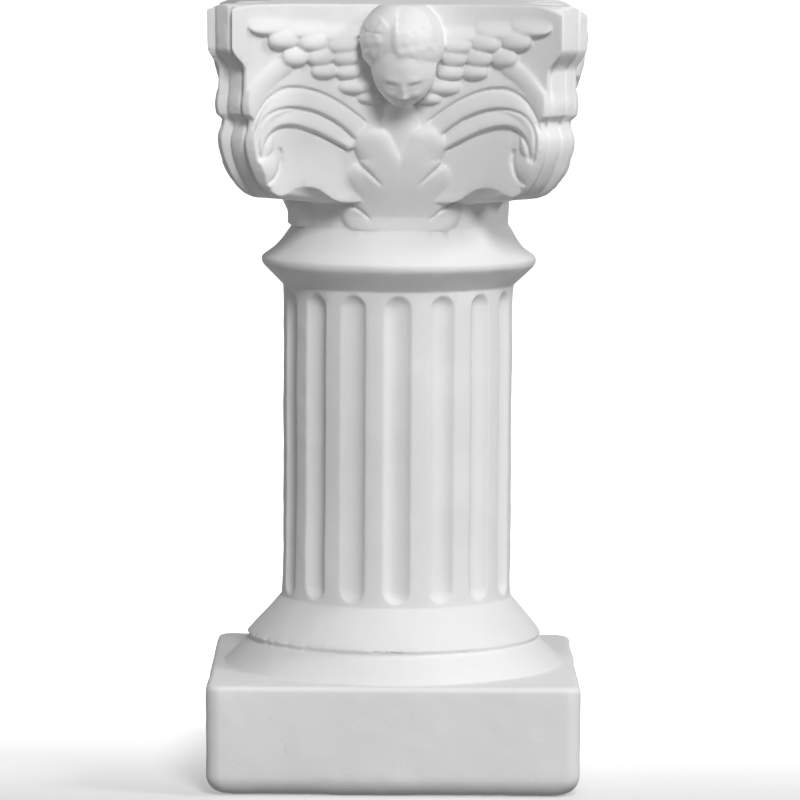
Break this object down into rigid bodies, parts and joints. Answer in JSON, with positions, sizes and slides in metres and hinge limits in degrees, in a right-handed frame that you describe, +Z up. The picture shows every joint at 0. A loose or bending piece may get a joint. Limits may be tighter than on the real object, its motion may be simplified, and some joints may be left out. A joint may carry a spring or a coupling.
{
  "type": "pedestal column",
  "caption": "Low pedestal column: square plinth, fluted shaft and a carved square capital with winged child heads, scrolls and leaf bundles; carries a pot or a bust.",
  "frame": {"origin": "middle of the underside", "axes": "+Z up the column, -Y out of the carved front"},
  "size_m": [0.351, 0.351, 0.7],
  "materials": {
    "plaster": "matt, chalky, fine pits"
  },
  "bodies": {
    "root": {"column": "plaster"}
  },
  "joints": []
}
